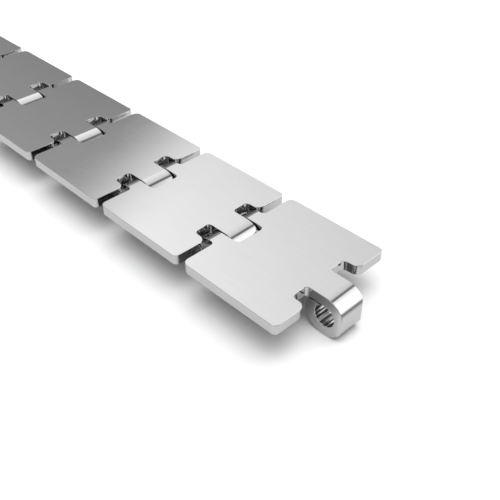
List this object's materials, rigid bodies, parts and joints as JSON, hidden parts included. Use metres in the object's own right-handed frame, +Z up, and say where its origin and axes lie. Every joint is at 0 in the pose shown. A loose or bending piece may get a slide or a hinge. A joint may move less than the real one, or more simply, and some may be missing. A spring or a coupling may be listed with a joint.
{
  "type": "flat top conveyor chain",
  "caption": "Run of steel flat top conveyor chain: smooth link plates with rolled eyes, hinged on cross pins, open at both ends.",
  "frame": {"origin": "under the middle of the run, on the surface that the rolled eyes rest on", "axes": "+X along the chain towards its free centre eye, +Y across the chain along the hinge pins, +Z up out of the carrying face"},
  "size_m": [0.4312, 0.0434, 0.0131],
  "materials": {
    "plate_steel": "polished stainless steel sheet",
    "pin_steel": "ground stainless steel"
  },
  "bodies": {
    "link_01": {"link_plate_01": "plate_steel", "hinge_pin_01": "pin_steel"},
    "link_02": {"link_plate_02": "plate_steel", "hinge_pin_02": "pin_steel"},
    "link_03": {"link_plate_03": "plate_steel", "hinge_pin_03": "pin_steel"},
    "link_04": {"link_plate_04": "plate_steel", "hinge_pin_04": "pin_steel"},
    "link_05": {"link_plate_05": "plate_steel", "hinge_pin_05": "pin_steel"},
    "link_06": {"link_plate_06": "plate_steel", "hinge_pin_06": "pin_steel"},
    "link_07": {"link_plate_07": "plate_steel", "hinge_pin_07": "pin_steel"},
    "link_08": {"link_plate_08": "plate_steel", "hinge_pin_08": "pin_steel"},
    "link_09": {"link_plate_09": "plate_steel", "hinge_pin_09": "pin_steel"},
    "link_10": {"link_plate_10": "plate_steel", "hinge_pin_10": "pin_steel"},
    "link_11": {"link_plate_11": "plate_steel"}
  },
  "joints": [
    {"name": "hinge_01", "type": "hinge", "parent": "link_01", "child": "link_02", "pos_m": [0.17195, 0, 0.00655], "axis": [0, -1, 0], "range_deg": [-21, 32.7]},
    {"name": "hinge_02", "type": "hinge", "parent": "link_02", "child": "link_03", "pos_m": [0.13385, 0, 0.00655], "axis": [0, -1, 0], "range_deg": [-21, 32.7]},
    {"name": "hinge_03", "type": "hinge", "parent": "link_03", "child": "link_04", "pos_m": [0.09575, 0, 0.00655], "axis": [0, -1, 0], "range_deg": [-21, 32.7]},
    {"name": "hinge_04", "type": "hinge", "parent": "link_04", "child": "link_05", "pos_m": [0.05765, 0, 0.00655], "axis": [0, -1, 0], "range_deg": [-21, 32.7]},
    {"name": "hinge_05", "type": "hinge", "parent": "link_05", "child": "link_06", "pos_m": [0.01955, 0, 0.00655], "axis": [0, -1, 0], "range_deg": [-21, 32.7]},
    {"name": "hinge_06", "type": "hinge", "parent": "link_06", "child": "link_07", "pos_m": [-0.01855, 0, 0.00655], "axis": [0, -1, 0], "range_deg": [-21, 32.7]},
    {"name": "hinge_07", "type": "hinge", "parent": "link_07", "child": "link_08", "pos_m": [-0.05665, 0, 0.00655], "axis": [0, -1, 0], "range_deg": [-21, 32.7]},
    {"name": "hinge_08", "type": "hinge", "parent": "link_08", "child": "link_09", "pos_m": [-0.09475, 0, 0.00655], "axis": [0, -1, 0], "range_deg": [-21, 32.7]},
    {"name": "hinge_09", "type": "hinge", "parent": "link_09", "child": "link_10", "pos_m": [-0.13285, 0, 0.00655], "axis": [0, -1, 0], "range_deg": [-21, 32.7]},
    {"name": "hinge_10", "type": "hinge", "parent": "link_10", "child": "link_11", "pos_m": [-0.17095, 0, 0.00655], "axis": [0, -1, 0], "range_deg": [-21, 32.7]}
  ]
}
